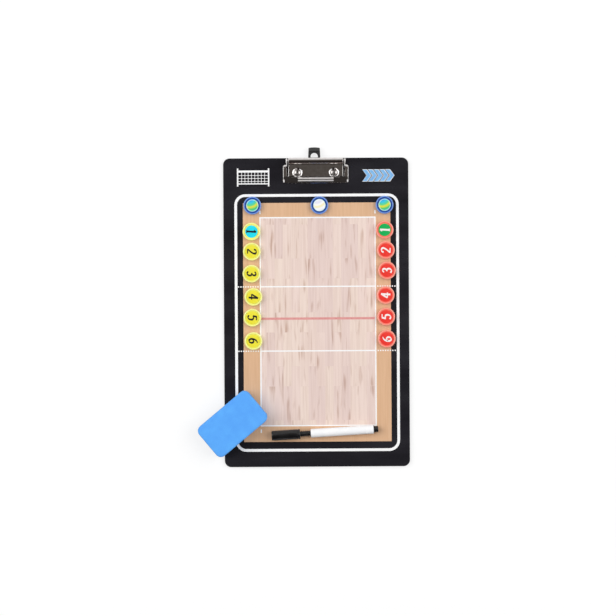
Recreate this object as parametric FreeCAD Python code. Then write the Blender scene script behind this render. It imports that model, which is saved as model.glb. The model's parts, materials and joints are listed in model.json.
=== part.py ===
import FreeCAD, Part
import math
import os

# Magnetic coaching clipboard: a laminated board with a steel sheet inside, a sprung clip with a pull-out
# hang hook, numbered player magnets, a marker pen and a foam eraser. All sizes are in millimetres.
# The origin is the centre of the board's back face, +X to the right, +Y towards the clip and +Z out of
# the front.

Vector = FreeCAD.Vector

# Board laminate
board_width = 213.0
board_length = 355.0
board_corner_radius = 7.5
back_sheet_thickness = 0.6
core_thickness = 2.8
front_sheet_thickness = 0.6
front_edge_bevel = 0.3
steel_thickness = 0.5
steel_margin = 5.0
steel_clip_gap = 6.0
steel_corner_radius = 4.0
steel_pocket_clearance = 0.2

# Clip base, a pressed plate with a rolled hinge tube behind it
clip_sheet = 0.8
base_width = 62.6
base_depth = 17.7
base_lift = 2.4
base_edge_round = 0.35
hinge_inset = 3.6
hinge_curl_degrees = 200.0
hinge_strip = 0.6
dimple_mouth_radius = 5.3
dimple_floor_radius = 2.7
dimple_rim = 0.5
rivet_side_inset = 10.3
rivet_setback = 13.2

# Rivets, rolled over in the dimples at the front and flat at the back
rivet_shank_radius = 1.8
rivet_bore_radius = 1.2
rivet_bore_floor = 1.5
rivet_roll_radius = 2.4
rivet_roll_height = 0.7
rivet_head_radius = 4.2
rivet_head_recess = 0.05
rivet_clearance = 0.1
rivet_sides = 20

# Clip jaw, a pressed frame that swings up on the hinge pin
jaw_arm_width = 6.2
jaw_bar_width = 7.8
jaw_bar_gap = 0.6
jaw_arm_setback = 4.3
jaw_arm_lift = 1.8
jaw_bend_radius = 10.0
jaw_lip_gap = 0.15
jaw_lip_height = 1.1
jaw_corner_radius = 2.4
jaw_edge_bevel = 0.45
ear_gap = 1.6
ear_radius = 3.9
ear_foot = 8.0
finger_lift_width = 40.0
finger_lift_radius = 2.2
finger_lift_setback = 4.5
finger_lift_curl_degrees = 205.0
finger_lift_sink = 0.4

# Hinge pin and the two torsion springs wound round it
hinge_pin_radius = 1.5
hinge_pin_head_radius = 2.1
hinge_pin_head = 0.6
hinge_pin_clearance = 0.03
hinge_pin_end_play = 0.05
spring_wire_radius = 0.6
spring_wire_sides = 6
spring_pitch = 1.4
spring_turns = 4.75
spring_steps_per_turn = 9
spring_leg = 2.4
spring_tang_reach = 1.2
spring_tang_bend = 0.5
spring_tang_stand = 0.5
spring_clearance = 0.15

# Hang hook, a plastic tongue that slides under the base plate, a little left of the middle
hook_thickness = 1.8
hook_clearance = 0.3
hook_offset = -1.6
hook_stem_width = 14.9
hook_tip_width = 12.9
hook_shoulder_width = 18.1
hook_shoulder_length = 2.0
hook_length = 23.5
hook_projection = 12.0
hook_tip_rise = 0.6
hook_hole_radius = 4.2
hook_hole_from_tip = 10.5
hook_grip_from_tip = 2.0
hook_grip_length = 2.8
hook_grip_width = 11.6
hook_grip_height = 1.2
hook_grip_bevel = 0.4
hook_lug_width = 1.6
hook_lug_length = 1.6
hook_extension = 3.4
hook_side_clearance = 0.3

# Magnets: a moulded cap with a ferrite disc pressed in from below
magnet_diameter = 20.6
magnet_height = 5.0
magnet_edge_bevel = 0.6
magnet_sides = 22
ferrite_sides = 14
magnet_label_diameter = 16.6
magnet_label_recess = 0.3
magnet_rest_gap = 0.05
ferrite_diameter = 15.8
ferrite_thickness = 2.6
ferrite_recess = 0.1
ferrite_clearance = 0.1

# Where the magnets stand, from the board's side edges and down from its top edge. Each right magnet stands
# a little higher than the left one with its number.
left_column_inset = 32.8
right_column_inset = 26.5
top_left_inset = 33.5
top_right_inset = 27.7
top_centre_offset = 4.0
top_row_drop = 54.5
first_row_drop = 84.4
row_drops = (0.0, 23.0, 48.4, 75.0, 98.9, 125.7)
left_nudges = (-0.5, -0.25, -0.75, 1.25, 0.0, 1.0)
right_nudges = (-1.25, 0.0, 1.25, -0.5, 0.0, 0.5)
right_rises = (1.1, 0.9, 2.9, 1.1, 0.3, 1.7)

# Marker pen, measured along its axis from the closed end of the cap
marker_yaw = 3.3
marker_middle_offset = 8.75
marker_middle_rise = 39.7
marker_rest_gap = 0.05
cap_length = 32.9
cap_diameter = 11.5
cap_wall = 1.4
cap_end_wall = 2.0
cap_edge = 0.8
cap_clearance = 0.15
grip_length = 12.1
grip_diameter = 6.7
grip_rib_count = 3
grip_rib_share = 0.5
grip_rib_depth = 0.5
cap_seat_length = 7.0
nose_length = 12.0
nose_diameter = 6.0
nib_diameter = 4.0
nib_tip_gap = 3.0
nib_tip_bevel = 0.8
nib_clearance = 0.05
barrel_length = 72.1
barrel_diameter = 10.0
barrel_wall = 0.7
section_insert = 9.0
insert_clearance = 0.05
reservoir_clearance = 0.6
reservoir_end_gap = 0.3
end_plug_length = 4.6
end_plug_diameter = 7.3
end_plug_collar = 0.8
end_plug_collar_diameter = 9.0
end_plug_insert = 6.0

# Eraser: a foam block on a felt pad, placed from the board's left edge and the lowest row of magnets
eraser_length = 74.0
eraser_width = 44.0
eraser_height = 16.0
eraser_corner_radius = 6.0
eraser_edge_bevel = 1.4
eraser_yaw = 39.7
eraser_side_inset = 9.7
eraser_row_drop = 94.4
eraser_rest_gap = 0.05
felt_thickness = 3.0
felt_margin = 1.5

# Levels and lines that several pieces share
board_top = back_sheet_thickness + core_thickness + front_sheet_thickness
core_top = back_sheet_thickness + core_thickness
board_edge_x = board_width / 2
board_edge_y = board_length / 2
base_bottom = board_top + base_lift
base_top = base_bottom + clip_sheet
spring_coil_radius = hinge_pin_radius + spring_clearance + spring_wire_radius
hinge_bore_radius = spring_coil_radius + spring_wire_radius + spring_clearance
hinge_tube_radius = hinge_bore_radius + clip_sheet
hinge_y = board_edge_y - hinge_inset
hinge_z = base_bottom + hinge_tube_radius
base_front = hinge_y - base_depth
jaw_width = base_width + 2 * jaw_arm_width
rivet_y = hinge_y - rivet_setback
rivet_xs = (rivet_side_inset - base_width / 2, base_width / 2 - rivet_side_inset)
jaw_front = base_front - jaw_bar_width
jaw_floor = board_top + jaw_lip_gap
jaw_arm_top = board_top + jaw_arm_lift + clip_sheet
jaw_lip_top = jaw_floor + jaw_lip_height
jaw_slope = math.atan2(jaw_arm_top - jaw_lip_top, base_front - jaw_front)
ear_inner = base_width / 2 + ear_gap
ear_outer = ear_inner + clip_sheet
spring_end_x = base_width / 2 + spring_wire_radius + spring_clearance
hook_bottom = board_top + hook_clearance
hook_top = hook_bottom + hook_thickness
hook_tip = board_edge_y + hook_projection
hook_inner_end = hook_tip - hook_length
hook_shoulder_rear = hook_inner_end + hook_shoulder_length
cap_radius = cap_diameter / 2
cap_bore_radius = cap_radius - cap_wall
barrel_radius = barrel_diameter / 2
barrel_bore_radius = barrel_radius - barrel_wall
barrel_start = cap_length + grip_length
barrel_end = barrel_start + barrel_length
insert_radius = barrel_bore_radius - insert_clearance
nib_radius = nib_diameter / 2
nib_tip = cap_end_wall + nib_tip_gap
nib_end = barrel_start + section_insert
marker_length = barrel_end + end_plug_collar + end_plug_length


# Shared construction helpers

def upright_edges(solid):
    return [edge for edge in solid.Edges if abs(edge.tangentAt(edge.FirstParameter).z) > 0.999]


def edges_at_height(solid, height):
    return [edge for edge in solid.Edges
            if abs(edge.BoundBox.ZMin - height) < 1e-6 and abs(edge.BoundBox.ZMax - height) < 1e-6]


def block(width, length, height, bottom_centre):
    corner = bottom_centre - Vector(width / 2, length / 2, 0)
    return Part.makeBox(width, length, height, corner)


def rounded_block(width, length, height, radius, bottom_centre):
    plain = block(width, length, height, bottom_centre)
    return plain.makeFillet(radius, upright_edges(plain))


def turned(outline):
    """Solid of revolution about the Z axis from a closed outline of (radius, height) points."""
    points = [Vector(radius, 0, height) for radius, height in outline]
    return Part.Face(Part.makePolygon(points + points[:1])).revolve(Vector(0, 0, 0), Vector(0, 0, 1), 360)


def disc(radius, bottom, top, x=0.0, y=0.0):
    return Part.makeCylinder(radius, top - bottom, Vector(x, y, bottom))


def polygon(sides, radius):
    """Regular polygon about the Z axis with its corners at the given radius."""
    turns = [2 * math.pi * side / sides for side in range(sides + 1)]
    return Part.makePolygon([Vector(radius * math.cos(turn), radius * math.sin(turn), 0) for turn in turns])


def prism(sides, radius, bottom, top):
    base = Part.Face(polygon(sides, radius)).translated(Vector(0, 0, bottom))
    return base.extrude(Vector(0, 0, top - bottom))


def rod(radius, start_x, end_x, y, z):
    return Part.makeCylinder(radius, end_x - start_x, Vector(start_x, y, z), Vector(1, 0, 0))


def line(start, end):
    return Part.LineSegment(start, end).toShape()


def side_point(centre, radius, degrees):
    """Point on a circle in a plane of constant X, with the angle from +Y towards +Z."""
    angle = math.radians(degrees)
    return centre + Vector(0, radius * math.cos(angle), radius * math.sin(angle))


def side_arc(centre, radius, start, end):
    stops = [side_point(centre, radius, degrees) for degrees in (start, (start + end) / 2, end)]
    return Part.Arc(*stops).toShape()


def mirrored(shape):
    return shape.mirror(Vector(0, 0, 0), Vector(1, 0, 0))


def curl_edges(centre, outer, inner, end):
    """Sheet rolled up from the bottom of a circle, over the rear and the top, to an end angle."""
    return [
        side_arc(centre, outer, -90, end),
        line(side_point(centre, outer, end), side_point(centre, inner, end)),
        side_arc(centre, inner, end, -90),
    ]


# Board

def board_layer(thickness, bottom):
    return rounded_block(board_width, board_length, thickness, board_corner_radius, Vector(0, 0, bottom))


def rivet_holes(radius):
    return Part.makeCompound([disc(radius, 0, board_top, x, rivet_y) for x in rivet_xs])


def steel_blank(growth):
    """The steel sheet, which ends short of the clip, or its pocket with an even growth round it."""
    width = board_width - 2 * (steel_margin - growth)
    front = steel_margin - growth - board_edge_y
    rear = jaw_front - steel_clip_gap + growth
    bottom_centre = Vector(0, (front + rear) / 2, core_top - steel_thickness)
    return rounded_block(width, rear - front, steel_thickness, steel_corner_radius + growth, bottom_centre)


def make_board():
    shank_holes = rivet_holes(rivet_shank_radius + rivet_clearance)
    head_holes = rivet_holes(rivet_head_radius + rivet_clearance)
    front = board_layer(front_sheet_thickness, core_top)
    front = front.makeChamfer(front_edge_bevel, edges_at_height(front, board_top))
    core = board_layer(core_thickness, back_sheet_thickness).cut(steel_blank(steel_pocket_clearance))
    return {
        "back_sheet": board_layer(back_sheet_thickness, 0.0).cut(head_holes),
        "core_board": core.cut(shank_holes),
        "steel_sheet": steel_blank(0.0),
        "front_sheet": front.cut(shank_holes),
    }


# Clip base and its rivets

def base_tube():
    """The rear strip of the plate, rolled up and forward into the hinge tube."""
    side = Vector(-base_width / 2, 0, 0)
    axis = side + Vector(0, hinge_y, hinge_z)
    strip_front = hinge_y - hinge_tube_radius - hinge_strip
    front_bottom = side + Vector(0, strip_front, base_bottom)
    front_top = side + Vector(0, strip_front, base_top)
    edges = [line(front_bottom, side_point(axis, hinge_tube_radius, -90))]
    edges += curl_edges(axis, hinge_tube_radius, hinge_bore_radius, hinge_curl_degrees)
    edges += [line(side_point(axis, hinge_bore_radius, -90), front_top), line(front_top, front_bottom)]
    return Part.Face(Part.Wire(edges)).extrude(Vector(base_width, 0, 0))


def base_tray():
    """The flat front of the plate with its side edges turned down onto the board."""
    rear = hinge_y - hinge_tube_radius - hinge_strip / 2
    length = rear - base_front
    bottom_centre = Vector(0, (rear + base_front) / 2, board_top)
    shell = block(base_width, length, base_top - board_top, bottom_centre)
    side_edges = [edge for edge in edges_at_height(shell, base_top)
                  if abs(edge.CenterOfMass.x) > base_width / 4]
    channel = block(base_width - 2 * clip_sheet, length, base_lift, bottom_centre)
    return shell.makeFillet(base_edge_round, side_edges).cut(channel)


def dimple():
    """A cone pressed down from the plate to the board, and the hole that it fills in the plate."""
    slope = (dimple_mouth_radius - dimple_floor_radius) / base_lift
    under_floor = dimple_floor_radius - slope * clip_sheet + clip_sheet * math.hypot(1.0, slope)
    under_plate = under_floor + slope * base_lift
    rim = under_plate + dimple_rim
    floor_top = board_top + clip_sheet
    hole = rivet_shank_radius + rivet_clearance
    cone = turned([
        (hole, board_top), (under_floor, board_top), (under_plate, base_bottom), (rim, base_bottom),
        (rim, base_top), (dimple_mouth_radius, base_top), (dimple_floor_radius, floor_top),
        (hole, floor_top),
    ])
    front = base_front - rivet_y
    within_plate = Part.makeBox(2 * rim, rim - front, base_top, Vector(-rim, front, 0))
    return cone.common(within_plate), disc(under_plate, base_bottom, base_top)


def hook_lugs():
    """Two lugs under the plate that guide the hook's stem and stop its shoulders."""
    inner_x = hook_stem_width / 2 + hook_side_clearance
    corner = Vector(inner_x, hook_shoulder_rear + hook_extension, hook_bottom)
    lug = Part.makeBox(hook_lug_width, hook_lug_length, base_bottom - hook_bottom, corner)
    return [side.translated(Vector(hook_offset, 0, 0)) for side in (lug, mirrored(lug))]


def make_clip_base():
    plate = base_tray().fuse([base_tube()] + hook_lugs())
    cone, mouth = dimple()
    for x in rivet_xs:
        to_rivet = Vector(x, rivet_y, 0)
        plate = plate.cut(mouth.translated(to_rivet)).fuse(cone.translated(to_rivet))
    return plate.removeSplitter()


def make_rivets():
    floor_top = board_top + clip_sheet
    roll_top = floor_top + rivet_roll_height
    head = prism(rivet_sides, rivet_head_radius, rivet_head_recess, back_sheet_thickness)
    shank = prism(rivet_sides, rivet_shank_radius, back_sheet_thickness, floor_top)
    roll = prism(rivet_sides, rivet_roll_radius, floor_top, roll_top)
    bore = prism(rivet_sides, rivet_bore_radius, rivet_bore_floor, roll_top)
    rivet = head.fuse([shank, roll]).cut(bore)
    return Part.makeCompound([rivet.translated(Vector(x, rivet_y, 0)) for x in rivet_xs])


# Clip jaw

def jaw_form(inset):
    """The pressed jaw's outer form or, with an inset of one sheet, the hollow under it."""
    side = Vector(inset - jaw_width / 2, 0, 0)
    front = jaw_front + inset
    rear = hinge_y - jaw_arm_setback - inset
    slope_degrees = math.degrees(jaw_slope)
    bend_half = jaw_bend_radius * math.tan(jaw_slope / 2)
    bend_centre = side + Vector(0, base_front + bend_half, jaw_arm_top - jaw_bend_radius)
    bend_radius = jaw_bend_radius - inset
    slope_fall = inset / math.cos(jaw_slope) - inset * math.tan(jaw_slope)
    front_foot = side + Vector(0, front, jaw_floor)
    front_lip = side + Vector(0, front, jaw_lip_top - slope_fall)
    rear_foot = side + Vector(0, rear, jaw_floor)
    rear_top = side + Vector(0, rear, jaw_arm_top - inset)
    outline = Part.Wire([
        line(front_foot, rear_foot),
        line(rear_foot, rear_top),
        line(rear_top, side_point(bend_centre, bend_radius, 90)),
        side_arc(bend_centre, bend_radius, 90, 90 + slope_degrees),
        line(side_point(bend_centre, bend_radius, 90 + slope_degrees), front_lip),
        line(front_lip, front_foot),
    ])
    form = Part.Face(outline).extrude(Vector(jaw_width - 2 * inset, 0, 0))
    return form.makeFillet(jaw_corner_radius - inset, upright_edges(form))


def tangent_degrees(radius, reach, turn):
    """Direction of the point where a line from outside touches a circle, on the side that turn gives."""
    toward = math.atan2(reach.z, reach.y)
    return math.degrees(toward + turn * math.acos(radius / reach.Length))


def jaw_ear():
    """The right ear: a lug round the pin that stands on the arm's inner edge."""
    axis = Vector(ear_inner, hinge_y, hinge_z)
    rear = hinge_y - jaw_arm_setback
    heel = Vector(ear_inner, rear, jaw_arm_top - clip_sheet)
    toe_bottom = Vector(ear_inner, rear - ear_foot, jaw_arm_top - clip_sheet)
    toe_top = Vector(ear_inner, rear - ear_foot, jaw_arm_top)
    start = tangent_degrees(ear_radius, heel - axis, 1)
    end = tangent_degrees(ear_radius, toe_top - axis, -1) + 360
    arc_start = side_point(axis, ear_radius, start)
    arc_end = side_point(axis, ear_radius, end)
    outline = Part.Wire([
        line(toe_bottom, heel), line(heel, arc_start), side_arc(axis, ear_radius, start, end),
        line(arc_end, toe_top), line(toe_top, toe_bottom),
    ])
    return Part.Face(outline).extrude(Vector(clip_sheet, 0, 0))


def make_jaw():
    form = jaw_form(0.0)
    crown = [edge for edge in form.Edges
             if edge.BoundBox.ZMin > jaw_floor + 1e-6 and edge.BoundBox.XLength < jaw_width - 1e-6]
    shell = form.makeChamfer(jaw_edge_bevel, crown).cut(jaw_form(clip_sheet))
    bar_rear = base_front - jaw_bar_gap
    window = Part.makeBox(2 * ear_inner, hinge_y - bar_rear, hinge_z, Vector(-ear_inner, bar_rear, 0))
    ear = jaw_ear()
    jaw = shell.cut(window).fuse([ear, mirrored(ear), finger_lift()])
    pin_hole = rod(hinge_pin_radius + hinge_pin_clearance, -ear_outer, ear_outer, hinge_y, hinge_z)
    tang = spring_path()[-1]
    tang_hole = rod(spring_wire_radius + spring_clearance, ear_inner, ear_outer, tang.y, tang.z)
    return jaw.cut([pin_hole, tang_hole, mirrored(tang_hole)]).removeSplitter()


def finger_lift():
    """A strip of the front bar rolled up into a bead for the finger."""
    middle_y = jaw_front + finger_lift_setback
    bar_top = jaw_lip_top + finger_lift_setback * math.tan(jaw_slope)
    axis = Vector(-finger_lift_width / 2, middle_y, bar_top - finger_lift_sink + finger_lift_radius)
    inner = finger_lift_radius - clip_sheet
    edges = curl_edges(axis, finger_lift_radius, inner, finger_lift_curl_degrees)
    edges.append(line(side_point(axis, inner, -90), side_point(axis, finger_lift_radius, -90)))
    return Part.Face(Part.Wire(edges)).extrude(Vector(finger_lift_width, 0, 0))


# Hinge pin and springs

def make_hinge_pin():
    head_start = ear_outer + hinge_pin_end_play
    shaft = rod(hinge_pin_radius, -head_start, head_start, hinge_y, hinge_z)
    head = rod(hinge_pin_head_radius, head_start, head_start + hinge_pin_head, hinge_y, hinge_z)
    return shaft.fuse([head, mirrored(head)])


def coil_point(turns):
    """Point on the right spring's coil, which starts under the pin and winds outwards."""
    angle = 2 * math.pi * turns - math.pi / 2
    x = spring_end_x - (spring_turns - turns) * spring_pitch
    y = hinge_y + spring_coil_radius * math.cos(angle)
    z = hinge_z + spring_coil_radius * math.sin(angle)
    return Vector(x, y, z)


def spring_path():
    """Right spring: a leg held in the tube's seam, the coil, and a tang bent out through the ear."""
    steps = round(spring_turns * spring_steps_per_turn)
    coil = [coil_point(spring_turns * step / steps) for step in range(steps + 1)]
    leg_end = coil[0] - Vector(0, spring_leg, 0)
    bend_start = coil[-1] - Vector(0, 0, spring_tang_reach)
    bend_end = bend_start + Vector(spring_tang_bend, 0, -spring_tang_bend)
    tang_end = Vector(ear_outer + spring_tang_stand, bend_end.y, bend_end.z)
    return [leg_end] + coil + [bend_start, bend_end, tang_end]


def make_springs():
    """Two coils of flat-sided wire, each swept along straight steps with mitred corners."""
    path = spring_path()
    section = polygon(spring_wire_sides, spring_wire_radius)
    section.Placement = FreeCAD.Placement(path[0], FreeCAD.Rotation(Vector(0, 0, 1), path[1] - path[0]))
    mitred = 1
    spring = Part.makePolygon(path).makePipeShell([section], True, False, mitred)
    return Part.makeCompound([spring, mirrored(spring)])


# Hang hook

def make_hook():
    shoulder = hook_shoulder_width / 2
    stem = hook_stem_width / 2
    tip = hook_tip_width / 2
    tip_side = hook_tip - hook_tip_rise
    right = [
        (shoulder, hook_inner_end), (shoulder, hook_shoulder_rear),
        (stem, hook_shoulder_rear), (tip, tip_side),
    ]
    right_points = [Vector(x, y, hook_bottom) for x, y in right]
    left_points = [Vector(-x, y, hook_bottom) for x, y in reversed(right)]
    edges = [line(start, end) for start, end in zip(right_points, right_points[1:])]
    edges.append(Part.Arc(right_points[-1], Vector(0, hook_tip, hook_bottom), left_points[0]).toShape())
    edges += [line(start, end) for start, end in zip(left_points, left_points[1:] + right_points[:1])]
    tongue = Part.Face(Part.Wire(edges)).extrude(Vector(0, 0, hook_thickness))
    hole = disc(hook_hole_radius, hook_bottom, hook_top, 0, hook_tip - hook_hole_from_tip)
    grip_middle = Vector(0, hook_tip - hook_grip_from_tip - hook_grip_length / 2, hook_top)
    grip = block(hook_grip_width, hook_grip_length, hook_grip_height, grip_middle)
    grip = grip.makeChamfer(hook_grip_bevel, edges_at_height(grip, hook_top + hook_grip_height))
    return tongue.cut(hole).fuse(grip).removeSplitter().translated(Vector(hook_offset, 0, 0))


# Magnets

def magnet_row_y(drop):
    return board_edge_y - first_row_drop - drop


def magnet_places():
    """Name and centre of every magnet, left and right teams from the top, then the top row."""
    places = {}
    for row, drop in enumerate(row_drops):
        left_x = left_column_inset - board_edge_x + left_nudges[row]
        right_x = board_edge_x - right_column_inset + right_nudges[row]
        number = str(row + 1)
        places["left_magnet_" + number] = (left_x, magnet_row_y(drop))
        places["right_magnet_" + number] = (right_x, magnet_row_y(drop) + right_rises[row])
    top_y = board_edge_y - top_row_drop
    places["top_magnet_left"] = (top_left_inset - board_edge_x, top_y)
    places["top_magnet_centre"] = (top_centre_offset, top_y)
    places["top_magnet_right"] = (board_edge_x - top_right_inset, top_y)
    return places


def magnet_pair():
    """A cap with a bevelled rim, a recess for its print and a pocket below, and the disc in the pocket."""
    pocket_top = ferrite_recess + ferrite_thickness
    ferrite_radius = ferrite_diameter / 2
    blank = prism(magnet_sides, magnet_diameter / 2, 0.0, magnet_height)
    blank = blank.makeChamfer(magnet_edge_bevel, edges_at_height(blank, magnet_height))
    label_floor = magnet_height - magnet_label_recess
    recess = prism(magnet_sides, magnet_label_diameter / 2, label_floor, magnet_height)
    pocket = prism(ferrite_sides, ferrite_radius + ferrite_clearance, 0.0, pocket_top)
    return blank.cut([recess, pocket]), prism(ferrite_sides, ferrite_radius, ferrite_recess, pocket_top)


def make_magnets():
    cap, ferrite = magnet_pair()
    pieces = {}
    for name, (x, y) in magnet_places().items():
        stand = Vector(x, y, board_top + magnet_rest_gap)
        pieces[name + "_cap"] = cap.translated(stand)
        pieces[name + "_ferrite"] = ferrite.translated(stand)
    return pieces


# Marker pen, turned about its own axis and then laid on the board

def marker_cap():
    return turned([
        (0.0, 0.0), (cap_radius - cap_edge, 0.0), (cap_radius, cap_edge), (cap_radius, cap_length),
        (cap_bore_radius, cap_length), (cap_bore_radius, cap_end_wall), (0.0, cap_end_wall),
    ])


def marker_section():
    bore = nib_radius + nib_clearance
    seat = cap_bore_radius - cap_clearance
    seat_start = cap_length - cap_seat_length
    nose_start = seat_start - nose_length
    rib_pitch = grip_length / grip_rib_count
    ridge = grip_diameter / 2
    valley = ridge - grip_rib_depth
    nose = nose_diameter / 2
    outline = [
        (bore, nose_start), (nose, nose_start), (nose, seat_start),
        (seat, seat_start), (seat, cap_length),
    ]
    for rib in range(grip_rib_count):
        start = cap_length + rib * rib_pitch
        crest = start + rib_pitch * (1 - grip_rib_share)
        outline += [(valley, start), (valley, crest), (ridge, crest), (ridge, start + rib_pitch)]
    outline += [(insert_radius, barrel_start), (insert_radius, nib_end), (bore, nib_end)]
    return turned(outline)


def marker_nib():
    return turned([
        (0.0, nib_tip), (nib_radius - nib_tip_bevel, nib_tip), (nib_radius, nib_tip + nib_tip_bevel),
        (nib_radius, nib_end), (0.0, nib_end),
    ])


def marker_barrel():
    return turned([
        (barrel_bore_radius, barrel_start), (barrel_radius, barrel_start),
        (barrel_radius, barrel_end), (barrel_bore_radius, barrel_end),
    ])


def marker_end_plug():
    knob = end_plug_diameter / 2
    collar = end_plug_collar_diameter / 2
    collar_end = barrel_end + end_plug_collar
    return turned([
        (0.0, barrel_end - end_plug_insert), (insert_radius, barrel_end - end_plug_insert),
        (insert_radius, barrel_end), (collar, barrel_end), (collar, collar_end), (knob, collar_end),
        (knob, marker_length), (0.0, marker_length),
    ])


def marker_reservoir():
    end = barrel_end - end_plug_insert - reservoir_end_gap
    return disc(barrel_bore_radius - reservoir_clearance, nib_end, end)


def marker_placement():
    """The pen lies on the cap's mouth and the barrel's far edge, so it tips down a little to the plug."""
    pitch = math.atan2(cap_radius - barrel_radius, barrel_end - cap_length)
    yaw = math.radians(marker_yaw)
    level = math.cos(pitch)
    direction = Vector(level * math.cos(yaw), level * math.sin(yaw), -math.sin(pitch))
    mouth_height = cap_radius * math.cos(pitch) + cap_length * math.sin(pitch)
    middle = Vector(marker_middle_offset, marker_middle_rise - board_edge_y, 0)
    start = middle - direction * (marker_length / 2)
    start.z = board_top + marker_rest_gap + mouth_height
    return FreeCAD.Placement(start, FreeCAD.Rotation(Vector(0, 0, 1), direction))


def make_marker():
    pieces = {
        "marker_cap": marker_cap(),
        "marker_section": marker_section(),
        "marker_nib": marker_nib(),
        "marker_barrel": marker_barrel(),
        "marker_reservoir": marker_reservoir(),
        "marker_end_plug": marker_end_plug(),
    }
    for piece in pieces.values():
        piece.Placement = marker_placement()
    return pieces


# Eraser

def make_eraser():
    felt_length = eraser_length - 2 * felt_margin
    felt_width = eraser_width - 2 * felt_margin
    felt_radius = eraser_corner_radius - felt_margin
    felt = rounded_block(felt_length, felt_width, felt_thickness, felt_radius, Vector(0, 0, 0))
    foot = Vector(0, 0, felt_thickness)
    foam = rounded_block(eraser_length, eraser_width, eraser_height, eraser_corner_radius, foot)
    foam = foam.makeChamfer(eraser_edge_bevel, edges_at_height(foam, felt_thickness + eraser_height))
    stand_y = magnet_row_y(row_drops[-1]) - eraser_row_drop
    stand = Vector(eraser_side_inset - board_edge_x, stand_y, board_top + eraser_rest_gap)
    placement = FreeCAD.Placement(stand, FreeCAD.Rotation(Vector(0, 0, 1), eraser_yaw))
    for piece in (foam, felt):
        piece.Placement = placement
    return {"eraser_body": foam, "eraser_felt": felt}


def make_clip():
    return {
        "clip_base": make_clip_base(),
        "clip_rivets": make_rivets(),
        "clip_jaw": make_jaw(),
        "clip_hinge_pin": make_hinge_pin(),
        "clip_springs": make_springs(),
        "hang_hook": make_hook(),
    }


os.makedirs("parts", exist_ok=True)
for group in (make_board(), make_clip(), make_magnets(), make_marker(), make_eraser()):
    for name, shape in group.items():
        shape.exportStep("parts/" + name + ".step")
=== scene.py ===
import json
import math

import bmesh
import bpy
from mathutils import Matrix, Vector, noise


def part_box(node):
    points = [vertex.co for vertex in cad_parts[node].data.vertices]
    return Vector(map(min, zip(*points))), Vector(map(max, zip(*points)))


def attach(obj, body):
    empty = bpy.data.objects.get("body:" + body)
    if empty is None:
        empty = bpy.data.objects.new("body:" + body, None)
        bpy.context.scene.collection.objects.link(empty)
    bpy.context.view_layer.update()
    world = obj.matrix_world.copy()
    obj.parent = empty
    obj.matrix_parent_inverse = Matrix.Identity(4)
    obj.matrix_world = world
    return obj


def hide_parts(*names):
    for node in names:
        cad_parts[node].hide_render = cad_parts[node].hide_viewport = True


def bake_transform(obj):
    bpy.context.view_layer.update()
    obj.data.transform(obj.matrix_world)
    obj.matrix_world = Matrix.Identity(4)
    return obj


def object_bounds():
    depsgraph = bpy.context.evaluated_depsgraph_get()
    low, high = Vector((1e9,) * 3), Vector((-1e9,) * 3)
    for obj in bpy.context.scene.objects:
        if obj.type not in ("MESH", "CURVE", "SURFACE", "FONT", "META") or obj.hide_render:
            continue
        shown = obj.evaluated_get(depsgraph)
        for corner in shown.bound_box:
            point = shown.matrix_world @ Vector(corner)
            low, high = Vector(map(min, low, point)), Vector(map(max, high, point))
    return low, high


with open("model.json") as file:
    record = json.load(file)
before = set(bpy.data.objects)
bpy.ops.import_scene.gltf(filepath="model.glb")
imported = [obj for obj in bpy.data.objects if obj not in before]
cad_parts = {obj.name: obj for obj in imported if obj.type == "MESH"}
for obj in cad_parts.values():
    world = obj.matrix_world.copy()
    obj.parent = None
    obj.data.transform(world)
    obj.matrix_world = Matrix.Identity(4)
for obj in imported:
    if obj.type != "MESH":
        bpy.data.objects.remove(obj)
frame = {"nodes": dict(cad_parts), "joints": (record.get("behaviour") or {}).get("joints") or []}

# The looks of a magnetic coaching clipboard, built round its solids. Sizes are in millimetres in the frame's
# axes: +X right, +Y towards the clip and +Z out of the board's front. A box is left, bottom, right, top.

mm = 0.001
cad_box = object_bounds()

# Photograph's frame: its size, scale and centre on the board's front, and the board's small turn in it
image_pixels = 616
pixels_per_mm = 0.8697
view_centre = (-9.8, 5.0)
view_roll_degrees = -0.35
camera_height = 2500.0
camera_sensor = 36.0
camera_reach = 20000.0

# Studio: the even light from all round, the lamps' places and watts, and the table's grey and base glow
ambient_level = 0.36
lamp_size = 2400.0
lamps = {"key": ((-1700.0, 600.0, 1900.0), 39.0), "fill": ((1700.0, 400.0, 1900.0), 34.0)}
table_size = 12000.0
table_gap = 0.05
table_grey = 0.3
table_glow = 0.7

# Print on the front sheet
outline_box = (-93.8, -159.9, 95.2, 136.2)
outline_width = 3.1
outline_radius = 12.3
panel_box = (-84.1, -148.7, 85.5, 126.0)
court_box = (-65.1, -130.9, 68.6, 109.8)
court_line = 1.45
attack_lines = (29.7, -44.3)
attack_reach = (-89.5, 91.0)
dash_length = 1.5
dash_pitch = 2.8
net_y = -7.1
net_width = 2.6
tick_gap = 3.4
tick_length = 4.0
ink_step = 0.008

# Floor boards in the court's print
plank_length = 62.0
plank_width = 9.6
plank_seam = 0.15
plank_stagger = 0.37

# Motifs beside the clip: a net between two posts on the left, a row of chevrons on the right
motif_net_box = (-89.0, 147.5, -55.0, 163.5)
motif_net_post = 1.6
motif_net_tape = 2.4
motif_net_line = 0.55
motif_net_columns = 9
motif_net_rows = 4
chevron_start = 54.0
chevron_pitch = 6.6
chevron_count = 5
chevron_width = 4.6
chevron_point = 5.0
chevron_edge = 0.5
chevron_levels = (150.5, 163.5)

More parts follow.
